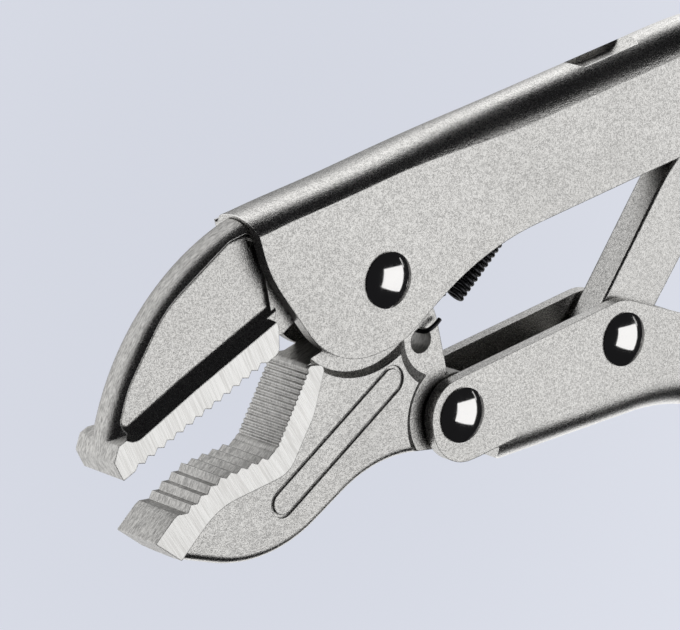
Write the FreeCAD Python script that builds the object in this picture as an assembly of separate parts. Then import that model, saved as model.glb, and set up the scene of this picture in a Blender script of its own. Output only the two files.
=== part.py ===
import FreeCAD, Part
import os
from math import asin, cos, hypot, pi, radians, sin, tan

# Locking pliers lying on their side, one STEP file for each separate piece.
#
# The model is drawn in the tool's own axes, in millimetres: the jaw pivot is at (0, 0, 0), X runs along
# the upper handle towards the adjusting knob, Y points from the lower handle to the ridge of the upper
# handle, and Z is across the tool's thickness. Every piece is then moved so that the middle of the
# underside of the whole tool's box is the origin.

V = FreeCAD.Vector

# ---------------------------------------------------------------- driving dimensions, mm
# Centre lines of the linkage, in tool axes.
JAW_PIVOT = (0.0, 0.0)
HANDLE_PIVOT = (9.8, -26.1)
LINK_PIVOT = (44.3, -26.8)
LINK_TIP = (82.0, 7.5)
SPRING_HOLE = (5.95, -12.64)
SPRING_ANCHOR = (48.0, 10.2)

# The pressed sheet of the two handles.
SHEET = 1.95
UPPER_HALF = 5.2
LOWER_HALF = 5.4
RIDGE_Y = 18.25
UPPER_EDGE_Y = -2.0
NOSE_DROP = 0.6
FLANK_CREASE = 0.12

# Half thicknesses of the solid pieces.
FORGED_HALF = 4.2
GROUND_HALF = 4.7
NECK_HALF = 3.1
WEB_HALF = 2.5
LINK_HALF = 2.75
LEVER_HALF = 1.6

# Rivets.
RIVET_RADIUS = 2.9
RIVET_HEAD_RADIUS = 4.35
RIVET_HEAD_HEIGHT = 1.65
RIVET_RIM = 0.25
RUNNING_GAP = 0.05
SEAT_GAP = 0.02

# Adjusting screw and knob.
SCREW_RADIUS = 2.98
TIP_CLEARANCE = 2.5
SCREW_END_X = 114.0
TUBE_RADIUS = 5.6
TUBE_END_X = 107.0
KNOB_RADIUS = 6.4
KNOB_START_X = 112.0
KNOB_END_X = 126.5

# Tension spring.
WIRE_RADIUS = 0.36
COIL_RADIUS = 1.5

# The middle of the underside of the whole tool, in tool axes.
FLOOR_MIDDLE = (36.5, -22.7225, -7.05)


# ---------------------------------------------------------------- drawing helpers
def flat(point, z=0.0):
    return V(point[0], point[1], z)


def rounded_wire(corners):
    """A closed wire through corners (x, y, radius), each corner replaced by its tangent arc."""
    count = len(corners)
    arcs = []
    for i, (x, y, radius) in enumerate(corners):
        corner = V(x, y, 0)
        back = (V(*corners[i - 1][:2], 0) - corner).normalize()
        ahead = (V(*corners[(i + 1) % count][:2], 0) - corner).normalize()
        half = back.getAngle(ahead) / 2
        reach = radius / tan(half)
        middle = corner + (back + ahead).normalize() * (radius / sin(half) - radius)
        arcs.append((corner + back * reach, middle, corner + ahead * reach, radius))
    edges = []
    for i, (start, middle, end, radius) in enumerate(arcs):
        if radius > 0:
            edges.append(Part.Arc(start, middle, end).toShape())
        following = arcs[(i + 1) % count][0]
        if end.distanceToPoint(following) > 1e-4:
            edges.append(Part.LineSegment(end, following).toShape())
    return Part.Wire(edges)


def slab(corners, low, high):
    """A flat plate with the outline of the corners, from z = low to z = high."""
    face = Part.Face(rounded_wire(corners))
    face.translate(V(0, 0, low))
    return face.extrude(V(0, 0, high - low))


def plate(corners, half):
    return slab(corners, -half, half)


def disc(centre, radius, half):
    return Part.makeCylinder(radius, 2 * half, flat(centre, -half))


def mirrored(shape):
    return shape.mirror(V(0, 0, 0), V(0, 0, 1))


def both_sides(shape):
    return shape.fuse(mirrored(shape))


def dished_step(centre, low_radius, high_radius, low, high):
    """The two conical cutters that step a forging down to half thickness low around a centre."""
    depth = high - low
    cone = Part.makeCone(low_radius, high_radius, depth, flat(centre, low))
    cap = Part.makeCylinder(high_radius, 2.0, flat(centre, high))
    return both_sides(cone.fuse(cap))


def soften(shape, radius, wanted):
    """Round the edges for which wanted(edge) holds."""
    edges = [edge for edge in shape.Edges if wanted(edge)]
    return shape.makeFillet(radius, edges)


def level(edge, height):
    """Whether an edge lies flat at |z| = height."""
    box = edge.BoundBox
    return box.ZLength < 1e-4 and abs(abs(box.Center.z) - height) < 1e-4


def whole(shape):
    """The shape without seams between faces that continue one another."""
    return shape.removeSplitter()


def turned(centre, angle, point):
    """A point given along (0) and across (1) a direction at angle degrees, from a centre."""
    along, across = point
    a = radians(angle)
    return (
        centre[0] + along * cos(a) - across * sin(a),
        centre[1] + along * sin(a) + across * cos(a),
    )


def grooves(start, end, count, depth, half_width):
    """Vee grooves across the jaw, spaced evenly between two points of its edge."""
    length = hypot(end[0] - start[0], end[1] - start[1])
    along = V((end[0] - start[0]) / length, (end[1] - start[1]) / length, 0)
    inward = V(along.y, -along.x, 0)
    tools = []
    for i in range(count):
        root = flat(start) + along * (length * (i + 0.5) / count) + inward * depth
        lift = inward * (-2 * depth)
        spread = along * (2 * half_width)
        vee = Part.makePolygon([root, root + lift + spread, root + lift - spread, root])
        tool = Part.Face(vee)
        tool.translate(V(0, 0, -6))
        tools.append(tool.extrude(V(0, 0, 12)))
    return Part.Compound(tools)


# ---------------------------------------------------------------- upper handle
UPPER_OUTLINE = [
    (-22.2, 26.0, 0),
    (-22.2, 17.5, 0),
    (-21.3, 8.5, 22),
    (-12.4, -10.45, 13.5),
    (1.2, -10.45, 9),
    (19.3, UPPER_EDGE_Y, 50),
    (76.0, UPPER_EDGE_Y, 25),
    (93.0, 1.9, 15),
    (98.0, 1.9, 0),
    (98.0, 26.0, 0),
]


def smooth(value):
    t = min(max(value, 0.0), 1.0)
    return t * t * (3 - 2 * t)


def channel_section(x, half, inset):
    """The cross-section of the handle's channel at x: flat walls under a crown that grows rounder."""
    drop = (RIDGE_Y - LINK_TIP[1] - TUBE_RADIUS) * smooth((x - 66) / 40)
    drop += NOSE_DROP * (1 - smooth((x + 6) / 28))
    crown = (3.2 + 2.3 * smooth((x - 2) / 30)) * half / UPPER_HALF
    top = RIDGE_Y - drop - inset
    shoulder = top - crown
    steps = 8
    points = []
    for i in range(steps + 1):
        angle = pi * i / steps
        points.append(V(x, shoulder + crown * sin(angle), half * cos(angle)))
    curve = Part.BSplineCurve()
    curve.interpolate(points, InitialTangent=V(0, 1, 0), FinalTangent=V(0, -1, 0))
    foot = -16.0
    corners = [points[-1], V(x, foot, -half), V(x, foot, half), points[0]]
    sides = [Part.LineSegment(a, b).toShape() for a, b in zip(corners, corners[1:])]
    return Part.Wire([curve.toShape()] + sides)


def channel(start, end, half, inset):
    count = 18
    sections = [channel_section(start + (end - start) * i / count, half, inset) for i in range(count + 1)]
    return Part.makeLoft(sections, True, False)


def upper_handle():
    outer = channel(-24, 100, UPPER_HALF + FLANK_CREASE, 0).common(plate(UPPER_OUTLINE, UPPER_HALF))
    axis = V(1, 0, 0)
    tube = Part.makeCylinder(TUBE_RADIUS, TUBE_END_X - 90, V(90, LINK_TIP[1], 0), axis)
    tube = soften(tube, 0.6, lambda e: e.BoundBox.XMin > TUBE_END_X - 0.1)
    flare = Part.makeCone(4.6, TUBE_RADIUS, 6, V(84, LINK_TIP[1], 0), axis)
    body = outer.fuse([tube, flare])
    body = body.cut(channel(-30, 91, UPPER_HALF - SHEET, SHEET))
    bore = Part.makeCylinder(SCREW_RADIUS + RUNNING_GAP, 40, V(80, LINK_TIP[1], 0), axis)
    body = body.cut(bore)
    # The ridge is pressed in over the spring's anchor, and the anchor hangs from the pressed floor.
    pressed = slab([(43.4, 19.6, 0), (48.2, 16.7, 6), (56.8, 16.5, 5), (60.6, 19.6, 0)], -2.3, 2.3)
    floor = plate([(44.0, 17.0, 0), (44.0, 14.9, 1), (60.0, 14.9, 1), (60.0, 17.0, 0)], 3.3)
    ax, ay = SPRING_ANCHOR
    left, right, foot = ax - 2.4, ax + 2.4, ay - 1.9
    lug = plate([(left, 16.0, 0), (left, foot, 1.8), (right, foot, 1.8), (right, 16.0, 0)], 0.8)
    body = body.fuse([floor, lug]).cut(pressed).cut(disc(SPRING_ANCHOR, 0.95, 2))
    body = body.cut(disc(JAW_PIVOT, RIVET_RADIUS + SEAT_GAP, 8))
    return whole(body)


# ---------------------------------------------------------------- fixed jaw
JAW_LINE = ((-52.6, -11.6), (-22.3, -3.75))
RIDGE_HALF = 3.6
RIDGE_CENTRE = (-15.76, -22.75)
RIDGE_RADIUS = 40.25
CREST_RADIUS = 3.2
POCKET = [
    (-25.6, 15.0, 1.0),
    (-38.7, 9.3, 16),
    (-47.7, 0.1, 14),
    (-50.6, -5.5, 0.9),
    (-38.0, -1.6, 40),
    (-18.0, 3.9, 0.5),
    (-18.0, 15.0, 0.5),
]


def fixed_jaw():
    ridge = soften(disc(RIDGE_CENTRE, RIDGE_RADIUS, RIDGE_HALF), CREST_RADIUS, lambda e: level(e, RIDGE_HALF))
    outline = [
        (-22.35, 20.0, 0),
        (-53.2, 20.0, 0),
        (-53.2, -9.6, 0),
        (-52.4, -10.9, 0),
        (-22.6, -3.3, 0),
        (-20.9, -2.6, 0),
        (-20.9, 0.6, 0),
        (-19.5, 3.8, 0),
        (-19.5, 13.2, 0),
        (-22.35, 13.2, 0),
    ]
    body = ridge.common(slab(outline, -9, 9))
    # The web between the rim and the ground band is pressed in on both sides, with sloping walls.
    pocket = sloped_pocket(POCKET, 1.7, WEB_HALF, GROUND_HALF + 0.1)
    body = body.cut(both_sides(pocket))
    band = plate(
        [
            (-52.3, -6.3, 0.4),
            (-53.55, -8.4, 0.6),
            (*JAW_LINE[0], 0.25),
            (-21.6, -3.6, 1.4),
            (-20.6, 2.3, 1.4),
        ],
        GROUND_HALF,
    )
    root = plate(
        [(-20.8, 13.6, 0.5), (-3.0, 13.6, 0.5), (-3.0, 4.0, 0), (-12.5, 1.0, 1), (-20.6, -2.2, 1), (-20.8, 3.0, 0)],
        UPPER_HALF - SHEET - RUNNING_GAP,
    )
    root = root.cut(disc(JAW_PIVOT, 9.6, 8))
    jaw = body.fuse([band.cut(both_sides(pocket)), root])
    start = turned(JAW_LINE[0], 14.55, (2.4, 0))
    end = turned(JAW_LINE[0], 14.55, (29.4, 0))
    jaw = jaw.cut(grooves(end, start, 14, 0.68, 0.5 * 27 / 14))
    return whole(jaw)


def sloped_pocket(corners, slope, low, high):
    """A pocket cutter with the given floor outline, whose walls slope outwards up to half thickness high."""
    floor = rounded_wire(corners)
    mouth = floor.makeOffset2D(slope * (high - low) / 2)
    floor.translate(V(0, 0, low))
    mouth.translate(V(0, 0, high))
    pocket = Part.makeLoft([floor, mouth], True, True)
    return soften(pocket, 0.8, lambda e: level(e, low))


# ---------------------------------------------------------------- lower jaw
TOOTH_STEP = (-43.9, -20.6)
VEE = (-25.7, -18.3)


def lower_jaw():
    outline = [
        (-49.2, -23.2, 0.3),
        (-45.3, -20.75, 0.3),
        (-37.4, -17.75, 9),
        (VEE[0], -18.1, 0.5),
        (-16.7, -7.6, 0.9),
        (-9.0, -6.6, 0.5),
        (-3.0, 5.0, 0),
        (6.0, 3.0, 0),
        (9.6, -9.6, 12),
        (10.0, -19.5, 3),
        (13.6, -26.1, 0),
        (8.6, -31.6, 2),
        (-6.5, -27.0, 22),
        (-29.6, -36.0, 23),
        (-45.3, -27.6, 0),
    ]
    jaw = plate(outline, FORGED_HALF).fuse([disc(JAW_PIVOT, 9.0, FORGED_HALF), disc(HANDLE_PIVOT, 6.3, FORGED_HALF)])
    jaw = whole(jaw)
    under = [
        e
        for e in jaw.Edges
        if level(e, FORGED_HALF) and e.BoundBox.YMin < -26.5 and e.BoundBox.XMax < 4 and e.BoundBox.XLength > 4
    ]
    jaw = jaw.makeFillet(1.3, under)
    for cutter in (
        dished_step((-4.1, 1.1), 13.9, 14.7, NECK_HALF, FORGED_HALF),
        dished_step((9.6, -12.4), 6.9, 8.7, NECK_HALF, FORGED_HALF),
        dished_step(HANDLE_PIVOT, 8.6, 10.0, NECK_HALF, FORGED_HALF),
    ):
        jaw = jaw.cut(cutter)
    band = plate(
        [
            (-49.2, -23.2, 0.2),
            (-45.3, -20.75, 0.2),
            (-37.4, -17.75, 9),
            (VEE[0], -18.1, 0.5),
            (-16.7, -7.6, 0.9),
            (-13.7, -8.6, 1.0),
            (-17.3, -15.4, 10),
            (-23.6, -22.4, 5),
            (-37.2, -22.4, 12),
            (-45.3, -27.55, 0.2),
        ],
        GROUND_HALF,
    )
    jaw = jaw.fuse(band)
    front = grooves(TOOTH_STEP, (-35.9, -17.85), 4, 0.66, 1.03)
    middle = grooves((-35.9, -17.85), (-26.0, -18.1), 5, 0.62, 0.99)
    rear = grooves(turned(VEE, 49.4, (0.9, 0.05)), turned(VEE, 49.4, (13.3, 0.05)), 15, 0.36, 0.42)
    jaw = jaw.cut([front, middle, rear])
    jaw = jaw.cut(stadium_groove((-25.2, -26.7), (-1.6, -16.1), 2.35, 0.55, 0.35))
    jaw = jaw.cut([disc(JAW_PIVOT, RIVET_RADIUS + RUNNING_GAP, 8), disc(HANDLE_PIVOT, RIVET_RADIUS + RUNNING_GAP, 8)])
    jaw = jaw.cut(disc(SPRING_HOLE, 2.0, 8))
    return whole(jaw)


def stadium_groove(first, last, radius, width, depth):
    """A groove round a long blank panel on both faces of the forging."""

    def panel(size):
        length = hypot(last[0] - first[0], last[1] - first[1])
        angle = V(last[0] - first[0], last[1] - first[1], 0).getAngle(V(1, 0, 0)) * 180 / pi
        ends = [(-size, -size), (length + size, -size), (length + size, size), (-size, size)]
        corners = [(*turned(first, angle, point), size * 0.998) for point in ends]
        return slab(corners, FORGED_HALF - depth, FORGED_HALF + 1)

    return both_sides(panel(radius).cut(panel(radius - width)))


# ---------------------------------------------------------------- lower handle
TAIL_ANGLE = -30.0
TAIL_END = 65.0
TAIL_TOP = 5.0
TAIL_BOTTOM = -8.0
WALL_TOP_Y = -20.2
EAR_BOTTOM_Y = -33.6
FOLD_START_X = 16.3
FOLD_START_Y = -37.1
OUTER_BEND = 5.1


def tail(along, across):
    """A point of the lower handle's tail, from the link pivot along the tail's direction."""
    return turned(LINK_PIVOT, TAIL_ANGLE, (along, across))


LOWER_OUTLINE = [
    (3.8, WALL_TOP_Y, 5.9),
    (45.5, WALL_TOP_Y - 0.1, 7.0),
    (*tail(14.5, TAIL_TOP + 1.0), 12),
    (*tail(TAIL_END, TAIL_TOP - 1.5), 6.0),
    (*tail(TAIL_END, TAIL_BOTTOM + 0.5), 6.0),
    (*tail(16.0, TAIL_BOTTOM - 0.6), 40),
    (FOLD_START_X, FOLD_START_Y, 1.8),
    (FOLD_START_X, EAR_BOTTOM_Y - 0.6, 0.5),
    (3.8, EAR_BOTTOM_Y, 6.8),
]


def lower_handle():
    walls = plate(LOWER_OUTLINE, LOWER_HALF)
    ears = walls.common(slab([(0, EAR_BOTTOM_Y - 0.4, 0), (20, EAR_BOTTOM_Y - 0.4, 0), (20, 0, 0), (0, 0, 0)], -9, 9))
    folded = walls.common(folded_blank(LOWER_HALF, 0, OUTER_BEND))
    body = folded.fuse(ears)
    body = body.cut(folded_blank(LOWER_HALF - SHEET, SHEET, OUTER_BEND - SHEET))
    throat = [(0, -50, 0), (FOLD_START_X, -50, 0), (FOLD_START_X, 0, 0), (0, 0, 0)]
    body = body.cut(plate(throat, LOWER_HALF - SHEET))
    for pivot in (HANDLE_PIVOT, LINK_PIVOT):
        body = body.cut(disc(pivot, RIVET_RADIUS + SEAT_GAP, 8))
    body = body.cut(disc(LEVER_PIVOT, LEVER_PIN_RADIUS + SEAT_GAP, 8))
    return whole(body)


def folded_blank(half, inset, bend):
    """A bar with the fold's underside and end, its bottom edges bent round, open-topped and overlong."""
    corners = [
        (FOLD_START_X - 6, 40.0, 0),
        (FOLD_START_X - 6, FOLD_START_Y + inset, 0),
        (*tail(16.0, TAIL_BOTTOM - 0.6 + inset), 40),
        (*tail(TAIL_END - inset, TAIL_BOTTOM + 0.5 + inset), 6.0 - inset / 2),
        (*tail(TAIL_END - inset, 90.0), 0),
    ]
    blank = plate(corners, half)
    return soften(
        blank, bend, lambda e: level(e, half) and e.CenterOfMass.y < 0 and e.BoundBox.XMin > FOLD_START_X - 5.9
    )


# ---------------------------------------------------------------- release lever
LEVER_PIVOT = tail(24.0, 0.4)
LEVER_PIN_RADIUS = 1.5
PAD_HALF = 3.05


def release_lever():
    corners = [
        (*tail(12.4, -3.4), 0.8),
        (*tail(12.8, -1.7), 0.8),
        (*tail(22.0, 2.9), 3),
        (*tail(40.0, 2.6), 8),
        (*tail(47.0, 5.4), 6),
        (*tail(59.0, 8.6), 0.8),
        (*tail(60.6, 6.2), 0.8),
        (*tail(47.0, 1.6), 6),
        (*tail(38.0, -2.2), 8),
        (*tail(22.0, -3.2), 3),
    ]
    lever = plate(corners, LEVER_HALF)
    pad_corners = [
        (*tail(46.5, 4.3), 0.4),
        (*tail(47.0, 5.9), 0.4),
        (*tail(59.0, 9.3), 0.7),
        (*tail(59.6, 7.3), 0.7),
    ]
    pad = soften(plate(pad_corners, PAD_HALF), 0.5, lambda e: level(e, PAD_HALF))
    lever = lever.fuse(pad).cut(disc(LEVER_PIVOT, LEVER_PIN_RADIUS + RUNNING_GAP, 8))
    return whole(lever)


def release_pin():
    return rivet(LEVER_PIVOT, LEVER_PIN_RADIUS, 2.3, LOWER_HALF, 0.7)


# ---------------------------------------------------------------- toggle link
def toggle_link():
    angle = 41.0

    def at(along, across, radius):
        return (*turned(LINK_PIVOT, angle, (along, across)), radius)

    length = hypot(LINK_TIP[0] - LINK_PIVOT[0], LINK_TIP[1] - LINK_PIVOT[1])
    corners = [
        at(-5.9, 4.9, 4.5),
        at(26.0, 6.0, 20),
        at(length - 4.0, 3.4, 6),
        at(length - 0.3, 2.6, 2.2),
        at(length - 0.3, -2.6, 2.2),
        at(length - 6.0, -3.4, 6),
        at(24.0, -5.4, 20),
        at(-5.9, -5.6, 5.2),
    ]
    link = plate(corners, LINK_HALF)
    link = soften(link, 0.5, lambda e: level(e, LINK_HALF))
    return link.cut(disc(LINK_PIVOT, RIVET_RADIUS + RUNNING_GAP, 8))


# ---------------------------------------------------------------- rivets
def rivet(centre, radius, head_radius, seat, height):
    """A pin with a domed head on the outside of each wall, each head on a thin straight rim."""
    dome = height - RIVET_RIM
    ball = (head_radius**2 + dome**2) / (2 * dome)
    half_angle = asin(head_radius / ball) / 2
    top = seat + height
    rim = V(head_radius, 0, seat + RIVET_RIM)
    shoulder = V(ball * sin(half_angle), 0, top - ball * (1 - cos(half_angle)))
    arc = Part.Arc(rim, shoulder, V(0, 0, top)).toShape()
    edge = Part.makePolygon([V(0, 0, top), V(0, 0, 0), V(radius, 0, 0), V(radius, 0, seat), V(head_radius, 0, seat), rim])
    half = Part.Face(Part.Wire([arc] + edge.Edges)).revolve(V(0, 0, 0), V(0, 0, 1), 360)
    half.translate(flat(centre))
    return whole(both_sides(half))


def jaw_rivet():
    return rivet(JAW_PIVOT, RIVET_RADIUS, RIVET_HEAD_RADIUS, UPPER_HALF, RIVET_HEAD_HEIGHT)


def handle_rivet():
    return rivet(HANDLE_PIVOT, RIVET_RADIUS, RIVET_HEAD_RADIUS, LOWER_HALF, RIVET_HEAD_HEIGHT)


def link_rivet():
    return rivet(LINK_PIVOT, RIVET_RADIUS, RIVET_HEAD_RADIUS, LOWER_HALF, RIVET_HEAD_HEIGHT)


# ---------------------------------------------------------------- adjusting screw and knob
def adjusting_screw():
    axis = V(1, 0, 0)
    y = LINK_TIP[1]
    tip_x = LINK_TIP[0] + TIP_CLEARANCE
    point = Part.makeCone(1.6, SCREW_RADIUS - 0.5, 1.6, V(tip_x, y, 0), axis)
    nose = Part.makeCylinder(SCREW_RADIUS - 0.5, 3.0, V(tip_x + 1.6, y, 0), axis)
    ramp = Part.makeCone(SCREW_RADIUS - 0.5, SCREW_RADIUS, 0.6, V(tip_x + 4.6, y, 0), axis)
    rod = Part.makeCylinder(SCREW_RADIUS, SCREW_END_X - tip_x - 5.2, V(tip_x + 5.2, y, 0), axis)
    return whole(point.fuse([nose, ramp, rod]))


def knurled_knob():
    axis = V(1, 0, 0)
    y = LINK_TIP[1]
    length = KNOB_END_X - KNOB_START_X
    knob = Part.makeCylinder(KNOB_RADIUS, length, V(KNOB_START_X, y, 0), axis)
    knob = knob.makeChamfer(1.0, [e for e in knob.Edges if e.BoundBox.XLength < 1e-4])
    collar = Part.makeCylinder(4.4, 2.2, V(KNOB_START_X - 1.6, y, 0), axis)
    knob = knob.fuse(collar)
    flutes = []
    for i in range(30):
        angle = 2 * pi * i / 30
        centre = V(KNOB_START_X + 1.6, y + (KNOB_RADIUS + 0.35) * cos(angle), (KNOB_RADIUS + 0.35) * sin(angle))
        flutes.append(Part.makeCylinder(0.6, length - 3.2, centre, axis))
    knob = knob.cut(Part.Compound(flutes))
    dish = Part.makeSphere(9.0, V(KNOB_END_X + 8.2, y, 0))
    knob = knob.cut(dish)
    blind = Part.makeCylinder(SCREW_RADIUS + SEAT_GAP, SCREW_END_X - KNOB_START_X + 1.7, V(KNOB_START_X - 1.7, y, 0), axis)
    return whole(knob.cut(blind))


# ---------------------------------------------------------------- tension spring
COIL_START = (16.2, -9.1)
COIL_TURNS = 33


def tension_spring():
    start = flat(COIL_START)
    along = (flat(SPRING_ANCHOR) - start).normalize()
    length = (flat(SPRING_ANCHOR) - start).Length - 4.9
    helix = Part.makeHelix(length / COIL_TURNS, length, COIL_RADIUS)
    helix.Placement = FreeCAD.Placement(start, FreeCAD.Rotation(V(0, 0, 1), along))
    first_turn, last_turn = helix.Edges[0], helix.Edges[-1]
    begin, end = first_turn.FirstParameter, last_turn.LastParameter
    rim = Part.Wire(Part.makeCircle(WIRE_RADIUS, first_turn.valueAt(begin), first_turn.tangentAt(begin)))
    # The hooks start a little way inside the coil's wire so that the pieces fuse.
    first, last = first_turn.valueAt(begin + 1), last_turn.valueAt(end - 1)
    coil = Part.Wire(helix.Edges).makePipeShell([rim], True, True)
    behind = -NECK_HALF - 0.2 - WIRE_RADIUS
    sx, sy = SPRING_HOLE
    hook_y = sy + 0.9
    front_hook = bent_wire(
        [
            first,
            V(sx + 6.6, sy + 2.0, behind),
            V(sx + 0.6, hook_y, behind),
            V(sx + 0.6, hook_y, 3.5),
            V(sx + 3.4, sy + 1.9, 4.2),
        ]
    )
    ax, ay = SPRING_ANCHOR
    rear_hook = bent_wire([last, V(ax - 3.0, ay - 1.9, 1.3), V(ax, ay, 1.3), V(ax, ay, -1.6)])
    return coil.fuse([front_hook, rear_hook])


def bent_wire(points):
    """Round wire along straight runs, with a ball at each bend."""
    runs = []
    for a, b in zip(points, points[1:]):
        runs.append(Part.makeCylinder(WIRE_RADIUS, (b - a).Length, a, b - a))
    balls = [Part.makeSphere(WIRE_RADIUS + 0.02, point) for point in points]
    return runs[0].fuse(runs[1:] + balls)


# ---------------------------------------------------------------- files
PIECES = {
    "upper_handle": upper_handle,
    "fixed_jaw": fixed_jaw,
    "lower_jaw": lower_jaw,
    "lower_handle": lower_handle,
    "release_lever": release_lever,
    "release_pin": release_pin,
    "toggle_link": toggle_link,
    "jaw_rivet": jaw_rivet,
    "handle_rivet": handle_rivet,
    "link_rivet": link_rivet,
    "adjusting_screw": adjusting_screw,
    "knurled_knob": knurled_knob,
    "tension_spring": tension_spring,
}


def main():
    os.makedirs("parts", exist_ok=True)
    for name, make in PIECES.items():
        shape = make()
        shape.translate(V(*FLOOR_MIDDLE) * -1)
        shape.exportStep("parts/" + name + ".step")
        box = shape.optimalBoundingBox()
        print(
            name, "valid", shape.isValid(), "solids", len(shape.Solids), "volume", round(shape.Volume, 1),
            "x", round(box.XMin, 3), round(box.XMax, 3), "y", round(box.YMin, 3), round(box.YMax, 3),
            "z", round(box.ZMin, 3), round(box.ZMax, 3),
        )


main()
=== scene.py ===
"""Locking pliers: finishes, wire spring, threaded screw, knurled knob and the studio round them."""

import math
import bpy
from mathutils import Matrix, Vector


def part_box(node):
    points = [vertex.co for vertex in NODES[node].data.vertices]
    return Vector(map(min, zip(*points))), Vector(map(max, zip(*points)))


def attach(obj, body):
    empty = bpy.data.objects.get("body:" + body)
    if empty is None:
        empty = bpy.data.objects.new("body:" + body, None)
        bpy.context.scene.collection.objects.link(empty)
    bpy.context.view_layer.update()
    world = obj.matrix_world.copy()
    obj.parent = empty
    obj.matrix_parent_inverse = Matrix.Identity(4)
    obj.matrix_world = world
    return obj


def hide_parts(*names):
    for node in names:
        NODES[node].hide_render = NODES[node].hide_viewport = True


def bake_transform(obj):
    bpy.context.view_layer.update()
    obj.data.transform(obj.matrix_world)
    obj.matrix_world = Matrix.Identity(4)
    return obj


bl_info = {
    "name": "Locking Pliers",
    "version": (1, 0, 0),
    "blender": (4, 5, 0),
    "location": "3D Viewport > Sidebar > Pliers",
    "description": "Finishes, wire spring, screw and knob of a pair of locking pliers, and a studio",
    "category": "Object",
}

import bmesh
import bpy
from bpy.props import FloatProperty, FloatVectorProperty, IntProperty, PointerProperty
from mathutils import Matrix, Vector

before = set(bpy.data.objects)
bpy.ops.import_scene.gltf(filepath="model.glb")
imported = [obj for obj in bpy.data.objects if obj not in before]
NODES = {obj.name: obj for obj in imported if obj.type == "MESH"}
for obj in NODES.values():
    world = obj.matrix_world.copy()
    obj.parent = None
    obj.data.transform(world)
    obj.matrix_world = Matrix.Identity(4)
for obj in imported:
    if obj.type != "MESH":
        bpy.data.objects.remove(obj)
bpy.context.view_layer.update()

MM = 0.001
SMOOTH_UP_TO = math.radians(38)


def middle(node):
    """The middle of a CAD node's box."""
    low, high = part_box(node)
    return (low + high) / 2


JAW_PIVOT = middle("jaw_rivet")
MID_HEIGHT = JAW_PIVOT.z


def at(x, y, z=0.0):
    """A place given in millimetres from the middle of the jaw rivet, in the row frame."""
    return JAW_PIVOT + Vector((x, y, z)) * MM


# How like a flat face's own normal the rounded one is where an edge ends, and how upright a normal
# is where a wall turns into a flat side.
EDGE_FROM, EDGE_SOFT = 0.955, 0.035
WALL_UP_TO, WALL_SOFT = 0.35, 0.2


# ------------------------------------------------------------------ node writing
class Value:
    """A node socket. Arithmetic on it adds Math nodes."""

    def __init__(self, network, socket):
        self.network = network
        self.socket = socket

    def maths(self, operation, *others, first=None):
        settings = {"operation": operation}
        return self.network.add("ShaderNodeMath", settings, self if first is None else first, *others)

    def __add__(self, other):
        return self.maths("ADD", other)

    __radd__ = __add__

    def __sub__(self, other):
        return self.maths("SUBTRACT", other)

    def __rsub__(self, other):
        return self.maths("SUBTRACT", self, first=other)

    def __mul__(self, other):
        return self.maths("MULTIPLY", other)

    __rmul__ = __mul__

    def __truediv__(self, other):
        return self.maths("DIVIDE", other)

    def __abs__(self):
        return self.maths("ABSOLUTE")

    def above(self, edge, softness):
        """0 below edge and 1 above it, eased over softness on each side."""
        settings = {"interpolation_type": "SMOOTHSTEP"}
        low, high = edge - softness, edge + softness
        return self.network.add("ShaderNodeMapRange", settings, self, low, high, 0.0, 1.0)

    def between(self, low, high):
        """A straight rise from 0 at low to 1 at high."""
        return self.network.add("ShaderNodeMapRange", None, self, low, high, 0.0, 1.0)


class Network:
    """A node tree written as Python expressions."""

    def __init__(self, tree):
        self.tree = tree

    def node(self, kind, settings=None, *values, **named):
        """A node: its settings are made first, then its inputs are filled in, by place or by name."""
        node = self.tree.nodes.new(kind)
        for key, value in (settings or {}).items():
            setattr(node, key, value)
        for key, value in [*enumerate(values), *named.items()]:
            socket = node.inputs[key.replace("_", " ") if isinstance(key, str) else key]
            if isinstance(value, Value):
                self.tree.links.new(value.socket, socket)
            elif value is not None:
                socket.default_value = value
        return node

    def add(self, kind, settings=None, *values, output=0, **named):
        """One output of a new node, ready for arithmetic."""
        return Value(self, self.node(kind, settings, *values, **named).outputs[output])


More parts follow.
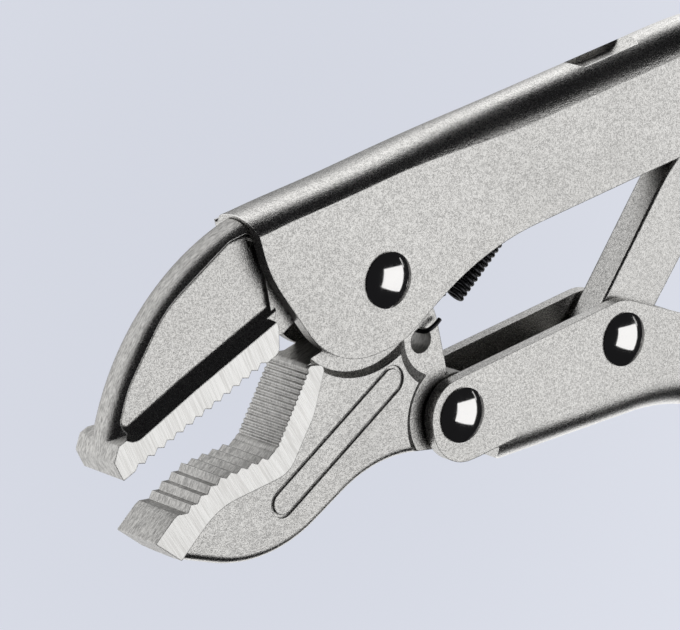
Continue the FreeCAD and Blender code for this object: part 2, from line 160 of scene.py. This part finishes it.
class Shape(Network):
    """A Geometry Nodes tree that reshapes a turned mesh or a line and gives it its material."""

    def __init__(self, name, labels):
        super().__init__(bpy.data.node_groups.new(name, "GeometryNodeTree"))
        sockets = self.tree.interface
        sockets.new_socket("Geometry", in_out="INPUT", socket_type="NodeSocketGeometry")
        for label in labels:
            sockets.new_socket(label, in_out="INPUT", socket_type="NodeSocketFloat")
        sockets.new_socket("Material", in_out="INPUT", socket_type="NodeSocketMaterial")
        sockets.new_socket("Geometry", in_out="OUTPUT", socket_type="NodeSocketGeometry")
        self.entry = self.tree.nodes.new("NodeGroupInput")

    def given(self, label):
        """A size, the geometry or the material that comes into the tree."""
        return Value(self, self.entry.outputs[label])

    def place(self):
        """The x of each point, and its angle about the X axis in turns."""
        position = self.add("GeometryNodeInputPosition")
        parts = self.node("ShaderNodeSeparateXYZ", None, position).outputs
        x, y, z = (Value(self, socket) for socket in parts)
        return x, z.maths("ARCTAN2", y) / math.tau

    def carved(self, depth, turns):
        """The mesh with its points moved towards the X axis by depth."""
        angle = turns * math.tau
        y = angle.maths("COSINE") * depth * -1.0
        z = angle.maths("SINE") * depth * -1.0
        offset = self.add("ShaderNodeCombineXYZ", None, 0.0, y, z)
        return self.add("GeometryNodeSetPosition", None, self.given("Geometry"), Offset=offset)

    def finish(self, geometry):
        """The end of the tree."""
        whole = self.add("GeometryNodeRealizeInstances", None, geometry)
        dressed = self.add("GeometryNodeSetMaterial", None, whole, Material=self.given("Material"))
        self.node("NodeGroupOutput", None, dressed)

    def make(self, name, mesh, material, sizes):
        """An object whose plain mesh is the result of running this tree on a mesh."""
        piece = bpy.data.objects.new(name, mesh)
        bpy.context.scene.collection.objects.link(piece)
        modifier = piece.modifiers.new(name, "NODES")
        modifier.node_group = self.tree
        for item in self.tree.interface.items_tree:
            if item.in_out == "INPUT" and item.name in sizes:
                modifier[item.identifier] = sizes[item.name]
            elif item.in_out == "INPUT" and item.name == "Material":
                modifier[item.identifier] = material
        graph = bpy.context.evaluated_depsgraph_get()
        result = bpy.data.meshes.new_from_object(piece.evaluated_get(graph), depsgraph=graph)
        piece.modifiers.remove(modifier)
        piece.data = result
        if not result.polygons:
            raise RuntimeError(name + " came out empty")
        result.name = name
        result.polygons.foreach_set("use_smooth", [True] * len(result.polygons))
        result.set_sharp_from_angle(angle=SMOOTH_UP_TO)
        return piece


class Finish(Network):
    """A material."""

    def __init__(self, name):
        self.material = bpy.data.materials.new(name)
        self.material.use_nodes = True
        super().__init__(self.material.node_tree)
        self.tree.nodes.clear()

    def millimetres(self, stretch=(1, 1, 1), turn=0.0):
        """The place on the piece, in millimetres, turned about Z and then stretched."""
        place = self.add("ShaderNodeTexCoord", output="Object")
        settings = {"vector_type": "POINT"}
        place = self.add("ShaderNodeMapping", settings, place, Rotation=(0, 0, turn))
        return self.add("ShaderNodeMapping", settings, place, Scale=[s / MM for s in stretch])

    def noise(self, place, scale, detail=2.0, roughness=0.5):
        """Noise from 0 to 1 with scale features to a unit of place."""
        sizes = {"Scale": scale, "Detail": detail, "Roughness": roughness}
        return self.add("ShaderNodeTexNoise", None, place, output="Fac", **sizes)

    def mix(self, share, first, second):
        """A colour between two colours."""
        node = self.node("ShaderNodeMix", {"data_type": "RGBA"})
        for socket, value in ((node.inputs[0], share), (node.inputs[6], first), (node.inputs[7], second)):
            if isinstance(value, Value):
                self.tree.links.new(value.socket, socket)
            else:
                socket.default_value = value
        return Value(self, node.outputs[2])

    def rounding(self, radius):
        """The normal with sharp edges rounded to a radius in millimetres, and 1 where the edges are."""
        rounded = self.add("ShaderNodeBevel", {"samples": 6}, Radius=radius * MM)
        flat = self.add("ShaderNodeNewGeometry", output="True Normal")
        settings = {"operation": "DOT_PRODUCT"}
        alike = self.add("ShaderNodeVectorMath", settings, rounded, flat, output="Value")
        return rounded, 1 - alike.above(EDGE_FROM, EDGE_SOFT)

    def steepness(self):
        """1 on walls that stand square to the flat sides of the tool, and 0 on the flat sides."""
        normal = self.add("ShaderNodeNewGeometry", output="True Normal")
        upright = abs(self.add("ShaderNodeSeparateXYZ", None, normal, output="Z"))
        return 1 - upright.above(WALL_UP_TO, WALL_SOFT)

    def bump(self, height, depth, normal=None):
        """The normal with the relief of a height map on it, depth in millimetres."""
        sizes = {"Strength": 1.0, "Distance": depth * MM}
        return self.add("ShaderNodeBump", None, Height=height, Normal=normal, **sizes)

    def finish(self, **inputs):
        """The end of the tree: one metal surface."""
        shader = self.add("ShaderNodeBsdfPrincipled", None, output="BSDF", **inputs)
        self.node("ShaderNodeOutputMaterial", None, shader)
        return self.material


# ------------------------------------------------------------------ finishes
# Shares of the plating's brightness: the pits of the blasted grain, the strokes on ground metal,
# and the painted shade on the walls between the teeth, in darker and paler streaks.
PITS = 0.48
STROKES = 0.78
WALL_SHADE_DARK, WALL_SHADE_PALE = 0.26, 0.70
# How much brighter than the rest the worn edges are, from 0 to 1.
SHEET_WEAR, FORGED_WEAR = 0.7, 0.6
GROUND_ROUGHNESS = 0.27


def colour(values):
    """A colour with its alpha."""
    return (*values, 1.0)


def darker(values, share):
    """A share of a colour's brightness."""
    return colour([value * share for value in values])


def blasted(finish, sheen):
    """The grain of the bead-blasted, plated surface, with its colour and roughness."""
    place = finish.millimetres()
    fine = finish.noise(place, 1 / sheen.grain_size, detail=2.0, roughness=0.62)
    coarse = finish.noise(place, 0.4 / sheen.grain_size, detail=1.0)
    cloudy = finish.noise(place, 0.06, detail=2.0)
    grain = fine * 0.75 + coarse * 0.25
    base = finish.mix(grain.above(0.49, 0.13), darker(sheen.plate, PITS), colour(sheen.plate))
    rough = sheen.satin + (cloudy - 0.5) * 0.16 + (fine - 0.5) * 0.20
    return grain, base, rough


def sheet_finish(sheen):
    """Satin plating over the blasted pressed sheet, a little brighter along its worn edges."""
    finish = Finish("satin_plated_sheet")
    grain, base, rough = blasted(finish, sheen)
    rounded, edge = finish.rounding(sheen.edge_radius)
    base = finish.mix(edge * SHEET_WEAR, base, colour(sheen.ground))
    relief = finish.bump(grain, sheen.grain_depth, normal=rounded)
    return finish.finish(Base_Color=base, Metallic=1.0, Roughness=rough - edge * 0.06, Normal=relief)


def forged_finish(sheen, name, line_turn):
    """Satin plating over a blasted forging, with the flat bands ground bright and painted shade in streaks
    on the walls and tooth faces.
    """
    finish = Finish(name)
    grain, base, satin = blasted(finish, sheen)
    place = finish.add("ShaderNodeTexCoord", output="Object")
    height = finish.add("ShaderNodeSeparateXYZ", None, place, output="Z")
    ground = abs(height - MID_HEIGHT).above(sheen.ground_half * MM, 0.02 * MM)
    along_lines = finish.millimetres((0.10, 2.6, 0.4), line_turn)
    strokes = finish.noise(along_lines, 1.0, detail=4.0, roughness=0.75)
    bright = finish.mix(strokes.above(0.5, 0.20), darker(sheen.plate, STROKES), colour(sheen.ground))
    base = finish.mix(ground, base, bright)
    # Painted shade: walls square to the flat sides, tooth faces among them, are darkened in dark and paler
    # streaks that stand in for the shade on and between the teeth. The same streak pattern also gives these
    # walls cut relief in the bump.
    wall = finish.steepness()
    cut_relief_and_shade = finish.noise(finish.millimetres((0.5, 0.5, 2.2)), 2.0, detail=3.0, roughness=0.7)
    dark, pale = darker(sheen.plate, WALL_SHADE_DARK), darker(sheen.plate, WALL_SHADE_PALE)
    painted_wall_shade = finish.mix(cut_relief_and_shade.above(0.48, 0.18), dark, pale)
    base = finish.mix(wall * 0.9, base, painted_wall_shade)
    ground_rough = GROUND_ROUGHNESS + (strokes - 0.5) * 0.30
    rough = satin * (1 - ground) + ground_rough * ground + wall * 0.16
    rounded, edge = finish.rounding(sheen.edge_radius)
    base = finish.mix(edge * FORGED_WEAR, base, colour(sheen.ground))
    texture = grain * (1 - ground) + strokes * ground * 0.30 + cut_relief_and_shade * wall * 0.6
    relief = finish.bump(texture, sheen.grain_depth, normal=rounded)
    return finish.finish(Base_Color=base, Metallic=1.0, Roughness=rough, Normal=relief)


def polished_finish(sheen, name, smoothest):
    """Smooth bright plating with faint smudges and hairline scratches."""
    finish = Finish(name)
    smudge = finish.noise(finish.millimetres(), 0.45, detail=3.0)
    scratches = finish.noise(finish.millimetres((0.3, 4.0, 4.0), 0.7), 2.0, detail=2.0)
    rough = smoothest + smudge.above(0.62, 0.2) * 0.05 + scratches.above(0.7, 0.1) * 0.03
    base = finish.mix(smudge, darker(sheen.rivet, 0.93), colour(sheen.rivet))
    relief = finish.bump(smudge, 0.004)
    return finish.finish(Base_Color=base, Metallic=1.0, Roughness=rough, Normal=relief)


def wire_finish(sheen):
    """Black phosphated spring wire with a slight oily sheen."""
    finish = Finish("black_spring_wire")
    mottle = finish.noise(finish.millimetres(), 3.0, detail=3.0)
    base = finish.mix(mottle, darker(sheen.wire, 0.6), darker(sheen.wire, 1.5))
    relief = finish.bump(mottle, 0.008)
    return finish.finish(Base_Color=base, Metallic=0.85, Roughness=0.28 + mottle * 0.18, Normal=relief)


# ------------------------------------------------------------------ mesh writing
def turned(name, profile, around, step):
    """A closed mesh turned about the X axis from (x, radius) points, in millimetres.

    The points start and end on the axis, and long stretches are cut into pieces about a step long.
    """
    mesh = bpy.data.meshes.new(name)
    points = [profile[0]]
    for (x0, r0), (x1, r1) in zip(profile, profile[1:]):
        pieces = max(1, round(math.hypot(x1 - x0, r1 - r0) / step))
        points += [(x0 + (x1 - x0) * i / pieces, r0 + (r1 - r0) * i / pieces) for i in range(1, pieces + 1)]
    work = bmesh.new()
    rings = []
    for x, radius in points:
        angles = [math.tau * i / around for i in range(around)] if radius else [0.0]
        spots = [(x * MM, radius * MM * math.cos(a), radius * MM * math.sin(a)) for a in angles]
        rings.append([work.verts.new(spot) for spot in spots])
    for one, two in zip(rings, rings[1:]):
        for i in range(around):
            j = i + 1
            corners = (one[i % len(one)], one[j % len(one)], two[j % len(two)], two[i % len(two)])
            work.faces.new(dict.fromkeys(corners))
    bmesh.ops.recalc_face_normals(work, faces=work.faces)
    work.to_mesh(mesh)
    work.free()
    return mesh


def settle(piece, place):
    """Put a piece's place in its mesh."""
    piece.data.transform(Matrix.Translation(place))


def eased(points, steps):
    """A smooth line through points."""
    ends = [points[0], *points, points[-1]]
    line = []
    for p, q, r, s in zip(ends, ends[1:], ends[2:], ends[3:]):
        for i in range(steps):
            t = i / steps
            curve = q * 2 + (r - p) * t
            curve += (p * 2 - q * 5 + r * 4 - s) * t**2 + (q * 3 - p - r * 3 + s) * t**3
            line.append(curve / 2)
    return [*line, points[-1]]


# ------------------------------------------------------------------ sizes and colours
class SheenProperties(bpy.types.PropertyGroup):
    """Colours and grain of the metal finishes."""

    plate: FloatVectorProperty(
        name="Plating",
        description="Colour of the satin plating",
        subtype="COLOR",
        default=(0.74, 0.73, 0.71),
    )
    ground: FloatVectorProperty(
        name="Ground Bands",
        description="Colour of the ground bands",
        subtype="COLOR",
        default=(0.84, 0.835, 0.82),
    )
    rivet: FloatVectorProperty(
        name="Rivets",
        description="Colour of the polished rivets",
        subtype="COLOR",
        default=(0.82, 0.81, 0.80),
    )
    wire: FloatVectorProperty(
        name="Spring Wire",
        description="Colour of the spring wire",
        subtype="COLOR",
        default=(0.05, 0.05, 0.055),
    )
    satin: FloatProperty(
        name="Satin", description="Roughness of the satin plating", default=0.27, min=0, max=1
    )
    grain_size: FloatProperty(name="Grain Size", description="Width of the blasted grain, mm", default=0.20)
    grain_depth: FloatProperty(
        name="Grain Depth", description="Depth of the blasted grain, mm", default=0.055
    )
    edge_radius: FloatProperty(
        name="Edge Radius", description="Rounding of sharp edges, mm", default=0.22
    )
    ground_half: FloatProperty(
        name="Ground Height", description="Height of the ground bands above the middle, mm", default=4.66
    )


class SpringProperties(bpy.types.PropertyGroup):
    """Sizes of the return spring."""

    wire_radius: FloatProperty(name="Wire Radius", description="Radius of the wire, mm", default=0.36)
    coil_radius: FloatProperty(
        name="Coil Radius", description="Radius of the coil's middle line, mm", default=1.6
    )
    turns: IntProperty(name="Turns", description="Turns of the coil", default=34, min=4)
    sides: IntProperty(
        name="Points a Turn", description="Points along each turn", default=16, min=8
    )


class ScrewProperties(bpy.types.PropertyGroup):
    """Sizes of the adjusting screw's thread and the knob's knurl."""

    pitch: FloatProperty(
        name="Pitch", description="Advance of the thread in one turn, mm", default=1.0
    )
    thread_depth: FloatProperty(name="Thread Depth", description="Depth of the thread, mm", default=0.55)
    knurl_starts: IntProperty(
        name="Knurl Starts", description="Grooves round the knob", default=34, min=8
    )
    knurl_depth: FloatProperty(name="Knurl Depth", description="Depth of the knurl, mm", default=0.32)


class StudioProperties(bpy.types.PropertyGroup):
    """Camera, floor and lights."""

    lens: FloatProperty(
        name="Lens", description="Focal length, mm", subtype="DISTANCE_CAMERA", default=211.76
    )
    floor_drop: FloatProperty(
        name="Floor Drop", description="Height of the tool above the floor", unit="LENGTH", default=0.07
    )
    floor_colour: FloatVectorProperty(
        name="Floor",
        description="Colour of the pale floor",
        subtype="COLOR",
        default=(0.655, 0.680, 0.760),
    )


# ------------------------------------------------------------------ operators
def dress(node, material):
    """Give a CAD node its finish."""
    slots = NODES[node].data.materials
    slots.clear()
    slots.append(material)


class PLIERS_OT_finish_handles(bpy.types.Operator):
    """Satin plating on the pressed handles, the link and the release lever"""

    bl_idname = "pliers.finish_handles"
    bl_label = "Finish Handles"

    def execute(self, context):
        material = sheet_finish(context.scene.pliers_sheen)
        for node in ("upper_handle", "lower_handle", "toggle_link", "release_lever"):
            dress(node, material)
        return {"FINISHED"}


class PLIERS_OT_finish_jaws(bpy.types.Operator):
    """Blasted forgings with bright ground bands"""

    bl_idname = "pliers.finish_jaws"
    bl_label = "Finish Jaws"

    def execute(self, context):
        sheen = context.scene.pliers_sheen
        dress("fixed_jaw", forged_finish(sheen, "fixed_jaw_steel", math.radians(-104)))
        dress("lower_jaw", forged_finish(sheen, "lower_jaw_steel", math.radians(-112)))
        return {"FINISHED"}


class PLIERS_OT_finish_rivets(bpy.types.Operator):
    """Glossy rivets and pin"""

    bl_idname = "pliers.finish_rivets"
    bl_label = "Finish Rivets"

    def execute(self, context):
        material = polished_finish(context.scene.pliers_sheen, "polished_rivet_steel", 0.085)
        for node in ("jaw_rivet", "handle_rivet", "link_rivet", "release_pin"):
            dress(node, material)
        return {"FINISHED"}


# Where the wire of the spring runs, in millimetres from the middle of the jaw rivet.
FRONT_HOOK = (
    (9.5, -10.3, 3.95),
    (8.2, -10.75, 4.15),
    (6.9, -11.2, 3.85),
    (6.4, -11.35, 2.8),
    (6.4, -11.4, 0.0),
    (6.5, -11.35, -2.8),
    (7.4, -11.15, -3.7),
    (9.7, -10.8, -3.75),
    (13.2, -10.1, -2.9),
)
COIL_FROM = Vector((15.5, -9.55, 0.0))
COIL_TO = Vector((43.8, 7.65, 0.0))
REAR_HOOK = (
    (45.2, 8.5, 1.3),
    (47.6, 9.95, 1.32),
    (48.25, 10.35, 0.5),
    (48.25, 10.35, -0.5),
    (47.5, 9.9, -1.35),
)
# Points on each stretch of the two hooks, and sides of the wire's round section.
FRONT_STEPS, REAR_STEPS = 7, 6
WIRE_SIDES = 10


class PLIERS_OT_make_spring(bpy.types.Operator):
    """The wire spring: a hook through the lower jaw, the coil, and a hook on the upper handle's lug"""

    bl_idname = "pliers.make_spring"
    bl_label = "Make Spring"

    def tree(self):
        shape = Shape("coiled_wire", ("Coil Radius", "Wire Radius", "Direction"))
        turns = shape.add("GeometryNodeInputNamedAttribute", {"data_type": "FLOAT"}, "turns")
        swell = shape.add("GeometryNodeInputNamedAttribute", {"data_type": "FLOAT"}, "swell")
        radius = swell * shape.given("Coil Radius")
        aside = (turns * math.tau).maths("COSINE") * radius
        rise = (turns * math.tau).maths("SINE") * radius
        direction = shape.given("Direction")
        x = direction.maths("SINE") * aside * -1.0
        y = direction.maths("COSINE") * aside
        offset = shape.add("ShaderNodeCombineXYZ", None, x, y, rise)
        line = shape.add("GeometryNodeSetPosition", None, shape.given("Geometry"), Offset=offset)
        line = shape.add("GeometryNodeMeshToCurve", None, line)
        sizes = {"Resolution": WIRE_SIDES, "Radius": shape.given("Wire Radius")}
        section = shape.add("GeometryNodeCurvePrimitiveCircle", None, **sizes)
        wire = shape.add("GeometryNodeCurveToMesh", None, line, section, Fill_Caps=True)
        shape.finish(wire)
        return shape

    def middle_line(self, spring):
        """The wire's middle line with its coil drawn onto the coil's axis.

        Each point carries the turns it has made and how far it stands off the axis.
        """
        count = spring.turns * spring.sides
        first = COIL_FROM + Vector((0, 0, -spring.coil_radius))
        last = COIL_TO + Vector((0, 0, spring.coil_radius))
        front = eased([*map(Vector, FRONT_HOOK), first], FRONT_STEPS)[:-1]
        rear = eased([last, *map(Vector, REAR_HOOK)], REAR_STEPS)[1:]
        turns = spring.turns + 0.5
        coil = [COIL_FROM.lerp(COIL_TO, i / count) for i in range(count + 1)]
        points = [*front, *coil, *rear]
        wound = [i / count * turns - 0.25 for i in range(count + 1)]
        wound = [0.0] * len(front) + wound + [0.0] * len(rear)
        swell = [0.0] * len(front) + [1.0] * len(coil) + [0.0] * len(rear)
        lines = [(i, i + 1) for i in range(len(points) - 1)]
        mesh = bpy.data.meshes.new("spring_line")
        mesh.from_pydata([at(*point) for point in points], lines, [])
        for name, values in (("turns", wound), ("swell", swell)):
            mesh.attributes.new(name, "FLOAT", "POINT").data.foreach_set("value", values)
        return mesh

    def execute(self, context):
        spring = context.scene.pliers_spring
        along = COIL_TO - COIL_FROM
        sizes = {
            "Coil Radius": spring.coil_radius * MM,
            "Wire Radius": spring.wire_radius * MM,
            "Direction": math.atan2(along.y, along.x),
        }
        material = wire_finish(context.scene.pliers_sheen)
        piece = self.tree().make("return_spring", self.middle_line(spring), material, sizes)
        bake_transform(piece)
        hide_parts("tension_spring")
        return {"FINISHED"}


# The screw and the knob stand this far inside their own boxes, in millimetres.
INSIDE = 0.01
# The screw, in millimetres from its tip: the tip's (x, radius) points, the plain neck and the thread.
SCREW_TIP = [(0, 0), (0, 1.2), (0.3, 1.7)]
NECK_DEPTH = 0.5
NECK_FROM, NECK_TO, BODY_FROM, THREAD_FROM = 1.6, 4.6, 5.2, 5.6
SCREW_SIDES = 48
RINGS_A_TURN = 11


class PLIERS_OT_make_screw(bpy.types.Operator):
    """The adjusting screw with its rolled thread"""

    bl_idname = "pliers.make_screw"
    bl_label = "Make Screw"

    def tree(self):
        shape = Shape("screw_thread", ("Pitch", "Depth", "From", "To"))
        x, turns = shape.place()
        phase = (x / shape.given("Pitch") - turns).maths("FRACT")
        groove = (abs(phase - 0.5) * 2).between(0.16, 0.92)
        started = x.above(shape.given("From"), 0.4 * MM)
        threaded = started * (1 - x.above(shape.given("To"), 0.2 * MM))
        shape.finish(shape.carved(groove * threaded * shape.given("Depth"), turns))
        return shape

    def execute(self, context):
        screw = context.scene.pliers_screw
        low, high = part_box("adjusting_screw")
        length = (high.x - low.x) / MM
        radius = (high.y - low.y) / MM / 2 - INSIDE
        neck = radius - NECK_DEPTH
        profile = [*SCREW_TIP, (NECK_FROM, neck), (NECK_TO, neck), (BODY_FROM, radius)]
        profile += [(length - 0.5, radius), (length, neck), (length, 0)]
        mesh = turned("screw", profile, SCREW_SIDES, screw.pitch / RINGS_A_TURN)
        sizes = {
            "Pitch": screw.pitch * MM,
            "Depth": screw.thread_depth * MM,
            "From": THREAD_FROM * MM,
            "To": (length - 0.2) * MM,
        }
        material = polished_finish(context.scene.pliers_sheen, "bright_screw_steel", 0.16)
        piece = self.tree().make("threaded_screw", mesh, material, sizes)
        settle(piece, (low.x, (low.y + high.y) / 2, (low.z + high.z) / 2))
        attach(piece, "adjusting_screw")
        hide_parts("adjusting_screw")
        return {"FINISHED"}


# The knob, in millimetres from its front: the collar's (x, radius) points, the bore that takes the
# screw's end, and where the knurl starts and how far before the rear it stops.
COLLAR = [(0, 3.3), (0, 4.0), (0.4, 4.4), (1.2, 4.4), (1.6, 4.9)]
BORE_RADIUS = 3.04
BORE_ROOM = 0.1
KNURL_FROM, KNURL_SHORT = 3.0, 1.4
KNURL_SLANT = math.radians(30)
SIDES_A_GROOVE = 6
KNOB_STEP = 0.22


class PLIERS_OT_make_knob(bpy.types.Operator):
    """The adjusting knob with its diamond knurl"""

    bl_idname = "pliers.make_knob"
    bl_label = "Make Knob"

    def tree(self):
        shape = Shape("diamond_knurl", ("Starts", "Slant", "Depth", "From", "To"))
        x, turns = shape.place()
        around = turns * shape.given("Starts")
        along = x * shape.given("Slant")
        one = abs((around + along).maths("FRACT") - 0.5) * 2
        two = abs((around - along).maths("FRACT") - 0.5) * 2
        point = one.maths("MINIMUM", two).between(0.0, 0.8)
        started = x.above(shape.given("From"), 0.3 * MM)
        cut = started * (1 - x.above(shape.given("To"), 0.3 * MM))
        shape.finish(shape.carved((1 - point) * cut * shape.given("Depth"), turns))
        return shape

    def execute(self, context):
        screw = context.scene.pliers_screw
        low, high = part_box("knurled_knob")
        length = (high.x - low.x) / MM
        radius = (high.y - low.y) / MM / 2 - INSIDE
        bore = (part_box("adjusting_screw")[1].x - low.x) / MM + BORE_ROOM
        profile = [(bore, 0), (bore, BORE_RADIUS), (0.3, BORE_RADIUS), *COLLAR]
        profile += [(1.75, radius - 1.1), (2.7, radius)]
        profile += [(length - 1.1, radius), (length - 0.3, radius - 0.8), (length, radius - 1.3)]
        profile += [(length, 4.0), (length - 0.3, 3.2), (length - 0.7, 1.6), (length - 0.8, 0)]
        mesh = turned("knob", profile, screw.knurl_starts * SIDES_A_GROOVE, KNOB_STEP)
        sizes = {
            "Starts": float(screw.knurl_starts),
            "Slant": screw.knurl_starts / (math.tau * radius * MM) * math.tan(KNURL_SLANT),
            "Depth": screw.knurl_depth * MM,
            "From": KNURL_FROM * MM,
            "To": (length - KNURL_SHORT) * MM,
        }
        material = polished_finish(context.scene.pliers_sheen, "bright_knob_steel", 0.20)
        piece = self.tree().make("knurled_adjuster", mesh, material, sizes)
        settle(piece, (low.x, (low.y + high.y) / 2, (low.z + high.z) / 2))
        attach(piece, "knurled_knob")
        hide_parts("knurled_knob")
        return {"FINISHED"}


# The camera looks down on the upper side of the tool from beyond the jaws.
CAMERA_BACK = Vector((-0.55604, 0.37223, 0.74314))
CAMERA_ROLL = math.radians(107.0)
CAMERA_AIM = at(-6.05, -4.48)
CAMERA_DISTANCE = 0.59903
SENSOR_WIDTH = 36.0

# Each light: its name, its direction and distance from the tool, its width, height and power.
SOFTBOXES = (
    ("main_softbox", (0.535, -0.236, 0.811), 0.9, 0.72, 1.05, 2.75),
    ("strip", (0.94, 0.0, 0.342), 1.2, 0.32, 0.05, 0.05),
)
SURROUNDINGS = (0.012, 0.012, 0.013)

# The floor reaches this far each way. The ring of it that the metal mirrors is brightly lit from
# one distance to the other, each with the softness of its edge.
FLOOR_REACH = 6.0
RING_FROM, RING_FROM_SOFT = 0.115, 0.06
RING_TO, RING_TO_SOFT = 0.38, 0.15
RING_POWER = 1.55
MATT_FLOOR = (0.50, 0.51, 0.53)
# What the camera sees of the floor glows evenly, and a little of it takes the shadows.
GLOW_POWER = 1.04
GLOW_SHARE = 0.95


def camera_turn():
    """The rotation of a camera that looks along -CAMERA_BACK, rolled about its own axis."""
    across = Vector((0, 0, 1)).cross(CAMERA_BACK).normalized()
    up = CAMERA_BACK.cross(across)
    level = Matrix((across, up, CAMERA_BACK)).transposed()
    return level @ Matrix.Rotation(CAMERA_ROLL, 3, "Z")


def softbox(name, direction, distance, width, height, power):
    """An area light in a direction from the tool, facing it."""
    light = bpy.data.lights.new(name, "AREA")
    light.shape = "RECTANGLE"
    light.size, light.size_y = width, height
    light.energy = power
    lamp = bpy.data.objects.new(name, light)
    bpy.context.scene.collection.objects.link(lamp)
    direction = Vector(direction).normalized()
    lamp.location = direction * distance
    lamp.rotation_mode = "QUATERNION"
    lamp.rotation_quaternion = direction.to_track_quat("Z", "Y")


class PLIERS_OT_make_studio(bpy.types.Operator):
    """Camera, pale floor, softboxes and dark surroundings"""

    bl_idname = "pliers.make_studio"
    bl_label = "Make Studio"

    def execute(self, context):
        studio = context.scene.pliers_studio
        data = bpy.data.cameras.new("camera")
        data.lens = studio.lens
        data.sensor_width = SENSOR_WIDTH
        data.clip_start, data.clip_end = 0.01, 20.0
        camera = bpy.data.objects.new("camera", data)
        camera.location = CAMERA_AIM + CAMERA_BACK * CAMERA_DISTANCE
        camera.rotation_mode = "QUATERNION"
        camera.rotation_quaternion = camera_turn().to_quaternion()
        context.scene.collection.objects.link(camera)
        context.scene.camera = camera
        self.floor(context, studio)
        for box in SOFTBOXES:
            softbox(*box)
        self.surroundings(context)
        context.scene.view_settings.view_transform = "Standard"
        return {"FINISHED"}

    def floor(self, context, studio):
        square = ((-1, -1), (1, -1), (1, 1), (-1, 1))
        corners = [(x * FLOOR_REACH, y * FLOOR_REACH, -studio.floor_drop) for x, y in square]
        mesh = bpy.data.meshes.new("floor")
        mesh.from_pydata(corners, [], [(0, 1, 2, 3)])
        floor = bpy.data.objects.new("floor", mesh)
        context.scene.collection.objects.link(floor)
        finish = Finish("pale_floor")
        seen = finish.add("ShaderNodeLightPath", output="Is Camera Ray")
        place = finish.add("ShaderNodeTexCoord", output="Object")
        away = finish.add("ShaderNodeVectorMath", {"operation": "LENGTH"}, place, output="Value")
        ring = away.above(RING_FROM, RING_FROM_SOFT) * (1 - away.above(RING_TO, RING_TO_SOFT))
        matt = finish.add("ShaderNodeBsdfDiffuse", None, colour(MATT_FLOOR))
        bright = finish.add("ShaderNodeEmission", None, colour((1.0, 1.0, 1.0)), RING_POWER)
        lit = finish.add("ShaderNodeMixShader", None, ring, matt, bright)
        glow = finish.add("ShaderNodeEmission", None, colour(studio.floor_colour), GLOW_POWER)
        shader = finish.add("ShaderNodeMixShader", None, seen * GLOW_SHARE, lit, glow)
        finish.node("ShaderNodeOutputMaterial", None, shader)
        mesh.materials.append(finish.material)

    def surroundings(self, context):
        world = bpy.data.worlds.new("studio")
        context.scene.world = world
        world.use_nodes = True
        background = world.node_tree.nodes["Background"]
        background.inputs["Color"].default_value = colour(SURROUNDINGS)
        background.inputs["Strength"].default_value = 1.0


class PLIERS_PT_sidebar(bpy.types.Panel):
    """The steps of the build"""

    bl_label = "Locking Pliers"
    bl_space_type = "VIEW_3D"
    bl_region_type = "UI"
    bl_category = "Pliers"

    def draw(self, context):
        for step in STEPS:
            self.layout.operator(step.bl_idname)


STEPS = (
    PLIERS_OT_finish_handles,
    PLIERS_OT_finish_jaws,
    PLIERS_OT_finish_rivets,
    PLIERS_OT_make_spring,
    PLIERS_OT_make_screw,
    PLIERS_OT_make_knob,
    PLIERS_OT_make_studio,
)
CLASSES = (SheenProperties, SpringProperties, ScrewProperties, StudioProperties, *STEPS, PLIERS_PT_sidebar)


def register():
    for cls in CLASSES:
        bpy.utils.register_class(cls)
    bpy.types.Scene.pliers_sheen = PointerProperty(type=SheenProperties)
    bpy.types.Scene.pliers_spring = PointerProperty(type=SpringProperties)
    bpy.types.Scene.pliers_screw = PointerProperty(type=ScrewProperties)
    bpy.types.Scene.pliers_studio = PointerProperty(type=StudioProperties)


def unregister():
    del bpy.types.Scene.pliers_studio
    del bpy.types.Scene.pliers_screw
    del bpy.types.Scene.pliers_spring
    del bpy.types.Scene.pliers_sheen
    for cls in reversed(CLASSES):
        bpy.utils.unregister_class(cls)


def main():
    register()
    for step in STEPS:
        getattr(bpy.ops.pliers, step.bl_idname.split(".")[1])()


if __name__ == "__main__":
    main()
